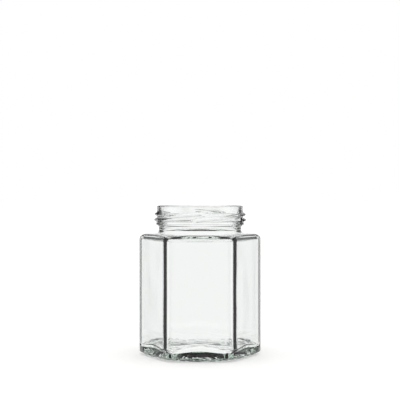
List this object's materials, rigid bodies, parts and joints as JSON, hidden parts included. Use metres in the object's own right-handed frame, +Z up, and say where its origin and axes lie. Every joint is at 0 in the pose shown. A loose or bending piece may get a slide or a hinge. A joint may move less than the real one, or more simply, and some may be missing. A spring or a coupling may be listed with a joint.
{
  "type": "hexagonal glass jar",
  "caption": "Empty clear glass jar with a hexagonal body, rounded corners and a round wide mouth with a twist-off thread.",
  "frame": {"origin": "centre of the base, on the plane that the jar stands on", "axes": "+Z up along the jar's axis to the mouth; -Y and +Y out of two opposite panels, -Y being the front; -X and +X towards two opposite corners"},
  "size_m": [0.0822, 0.0742, 0.101],
  "materials": {
    "glass": "clear flint container glass with a very slight green tint, fire-polished smooth"
  },
  "bodies": {
    "root": {"jar": "glass"}
  },
  "joints": []
}
